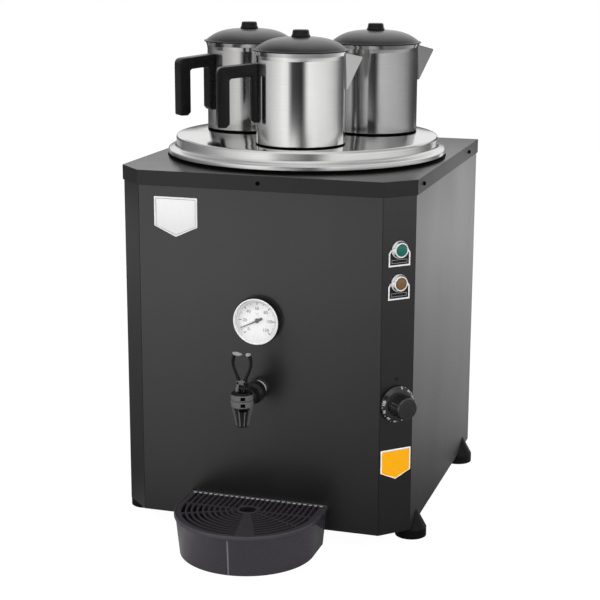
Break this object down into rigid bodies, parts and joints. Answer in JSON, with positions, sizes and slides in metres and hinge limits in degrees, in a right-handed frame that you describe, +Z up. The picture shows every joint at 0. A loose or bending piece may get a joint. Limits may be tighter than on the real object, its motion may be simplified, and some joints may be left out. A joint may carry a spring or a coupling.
{
  "type": "hot water urn",
  "caption": "Countertop hot water urn: black square cabinet, round steel lid with teapots, thermometer dial, lever tap, thermostat knob and half-round drip tray.",
  "frame": {"origin": "on the counter, at the centre of the footprint of cabinet, drip tray and cable gland", "axes": "+Z up, +X to the user's right, -Y towards the user, where the tap is"},
  "size_m": [0.424, 0.5776, 0.6637],
  "materials": {
    "black_paint": "fine-textured satin black powder coat",
    "stainless": "brushed stainless steel",
    "pot_steel": "satin brushed stainless steel",
    "lid_steel": "dark brushed stainless steel",
    "handle_plastic": "moulded black plastic, soft gloss",
    "screw_steel": "bright zinc-plated steel",
    "foot_rubber": "moulded black rubber",
    "mineral_wool": "mineral wool blanket",
    "tap_plastic": "moulded black plastic",
    "silicone": "milky silicone",
    "collar_grey": "pale grey plastic",
    "knob_plastic": "moulded black plastic",
    "block_plastic": "cream moulded plastic",
    "lead_insulation": "heat-proof silicone lead",
    "copper_tube": "drawn copper",
    "bezel_chrome": "polished chrome",
    "green_plastic": "clear green plastic",
    "amber_plastic": "clear amber plastic",
    "white_enamel": "white enamel",
    "needle_black": "black enamel",
    "clear_glass": "clear glass",
    "badge_silver": "bright anodised plate",
    "badge_yellow": "glossy yellow plate with a white edge",
    "tray_plastic": "glossy moulded black plastic",
    "grille_plastic": "moulded black plastic"
  },
  "bodies": {
    "cabinet": {"base_plate": "black_paint", "rubber_feet": "foot_rubber", "foot_screws": "screw_steel", "left_side_panel": "black_paint", "right_side_panel": "black_paint", "front_panel": "black_paint", "back_panel": "black_paint", "cabinet_screws": "screw_steel", "top_cap": "black_paint", "water_tank": "stainless", "tank_insulation": "mineral_wool", "tank_seal": "foot_rubber", "heating_element": "stainless", "element_nuts": "screw_steel", "thermowell": "stainless", "thermostat_body": "block_plastic", "thermostat_bulb": "copper_tube", "safety_limiter": "knob_plastic", "terminal_block": "block_plastic", "cable_gland": "knob_plastic", "wiring": "lead_insulation", "lamp_bezels": "bezel_chrome", "green_lens": "green_plastic", "amber_lens": "amber_plastic", "lamp_bodies": "knob_plastic", "lamp_plates": "black_paint", "pointer_dot": "needle_black", "gauge_case": "bezel_chrome", "gauge_dial": "white_enamel", "gauge_glass": "clear_glass", "gauge_stem": "stainless", "tap_body": "tap_plastic", "tap_bonnet": "tap_plastic", "tap_spring": "screw_steel", "tap_collar": "collar_grey", "lock_nuts": "screw_steel", "tank_gaskets": "foot_rubber", "badge_plate": "badge_silver", "side_badge": "badge_yellow"},
    "valve": {"valve_stem": "tap_plastic", "seat_cup": "silicone", "lever_pin": "screw_steel"},
    "lever": {"tap_lever": "tap_plastic"},
    "needle": {"gauge_needle": "needle_black"},
    "knob": {"thermostat_knob": "knob_plastic"},
    "tray": {"drip_tray": "tray_plastic"},
    "grille": {"drip_grille": "grille_plastic"},
    "lid": {"urn_lid": "stainless"},
    "front_pot": {"front_pot_body": "pot_steel", "front_pot_handle": "handle_plastic"},
    "front_pot_cover": {"front_pot_lid": "lid_steel", "front_pot_knob": "handle_plastic"},
    "right_pot": {"right_pot_body": "pot_steel", "right_pot_handle": "handle_plastic"},
    "right_pot_cover": {"right_pot_lid": "lid_steel", "right_pot_knob": "handle_plastic"},
    "left_pot": {"left_pot_body": "pot_steel", "left_pot_handle": "handle_plastic"},
    "left_pot_cover": {"left_pot_lid": "lid_steel", "left_pot_knob": "handle_plastic"}
  },
  "joints": [
    {"name": "lid_lift", "type": "slide", "parent": "cabinet", "child": "lid", "axis": [0, 0, 1], "range_m": [0, 0.06]},
    {"name": "lever_pull", "type": "hinge", "parent": "valve", "child": "lever", "pos_m": [0, -0.2128, 0.2255], "axis": [1, 0, 0], "range_deg": [0, 40]},
    {"name": "valve_lift", "type": "slide", "parent": "cabinet", "child": "valve", "axis": [0, 0, 1], "range_m": [0, 0.0033], "stiffness_N_per_m": 300, "springref_m": -0.003, "deforming": ["tap_spring"]},
    {"name": "needle_swing", "type": "hinge", "parent": "cabinet", "child": "needle", "pos_m": [0, -0.1528, 0.299], "axis": [0, 1, 0], "range_deg": [-19, 251], "stiffness_Nm_per_rad": 0.001},
    {"name": "thermostat_turn", "type": "hinge", "parent": "cabinet", "child": "knob", "pos_m": [0.18105, -0.13055, 0.198], "axis": [-0.7071, 0.7071, 0], "range_deg": [0, 270]},
    {"name": "tray_pull", "type": "slide", "parent": "cabinet", "child": "tray", "axis": [0, -1, 0], "range_m": [0, 0.12]},
    {"name": "grille_lift", "type": "slide", "parent": "tray", "child": "grille", "axis": [0, 0, 1], "range_m": [0, 0.05]},
    {"name": "front_pot_lift", "type": "slide", "parent": "lid", "child": "front_pot", "axis": [0, 0, 1], "range_m": [0, 0.15]},
    {"name": "front_pot_cover_lift", "type": "slide", "parent": "front_pot", "child": "front_pot_cover", "axis": [0, 0, 1], "range_m": [0, 0.05]},
    {"name": "right_pot_lift", "type": "slide", "parent": "lid", "child": "right_pot", "axis": [0, 0, 1], "range_m": [0, 0.15]},
    {"name": "right_pot_cover_lift", "type": "slide", "parent": "right_pot", "child": "right_pot_cover", "axis": [0, 0, 1], "range_m": [0, 0.05]},
    {"name": "left_pot_lift", "type": "slide", "parent": "lid", "child": "left_pot", "axis": [0, 0, 1], "range_m": [0, 0.15]},
    {"name": "left_pot_cover_lift", "type": "slide", "parent": "left_pot", "child": "left_pot_cover", "axis": [0, 0, 1], "range_m": [0, 0.05]}
  ],
  "couplings": [
    {"joint": "lever_pull", "follows": "valve_lift", "rad_per_m": 211.55}
  ]
}
